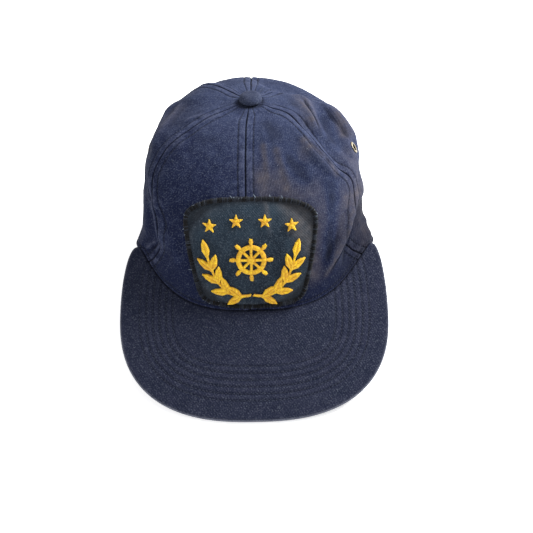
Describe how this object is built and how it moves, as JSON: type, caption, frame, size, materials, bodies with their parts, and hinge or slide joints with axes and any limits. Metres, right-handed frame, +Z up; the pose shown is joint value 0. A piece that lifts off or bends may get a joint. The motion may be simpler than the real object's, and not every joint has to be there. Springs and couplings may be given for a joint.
{
  "type": "six-panel peaked cotton cap with a nautical badge",
  "caption": "Soft washed-cotton peaked cap: sewn crown panels, stiff sloping visor, covered top button, side eyelets and an embroidered badge.",
  "frame": {"origin": "on the table, under the middle of the cap's box, as the cap stands by itself", "axes": "+Z up; the visor points to -Y; the wearer's left is +X"},
  "size_m": [0.194, 0.268, 0.1484],
  "materials": {
    "crown_cotton": "washed and faded navy cotton twill",
    "visor_cotton": "navy cotton twill over a stiff board, quilted with rows of stitching",
    "button_cotton": "faded navy cotton stretched over a metal shell",
    "badge_twill": "dark slate twill, worn grey on one side",
    "border_thread": "overlocked dark thread with frayed light specks",
    "embroidery_thread": "glossy yellow satin-stitch thread",
    "eyelet_metal": "pale plated brass, polished"
  },
  "bodies": {
    "root": {"panel_front_left": "crown_cotton", "panel_front_right": "crown_cotton", "panel_side_left": "crown_cotton", "panel_side_right": "crown_cotton", "panel_rear_left": "crown_cotton", "panel_rear_right": "crown_cotton", "visor_top": "visor_cotton", "visor_under": "visor_cotton", "top_button": "button_cotton", "eyelet_left": "eyelet_metal", "eyelet_right": "eyelet_metal", "badge_field": "badge_twill", "badge_border": "border_thread", "badge_star_1": "embroidery_thread", "badge_star_2": "embroidery_thread", "badge_star_3": "embroidery_thread", "badge_star_4": "embroidery_thread", "badge_wheel": "embroidery_thread", "badge_spray_left": "embroidery_thread", "badge_spray_right": "embroidery_thread"}
  },
  "joints": []
}
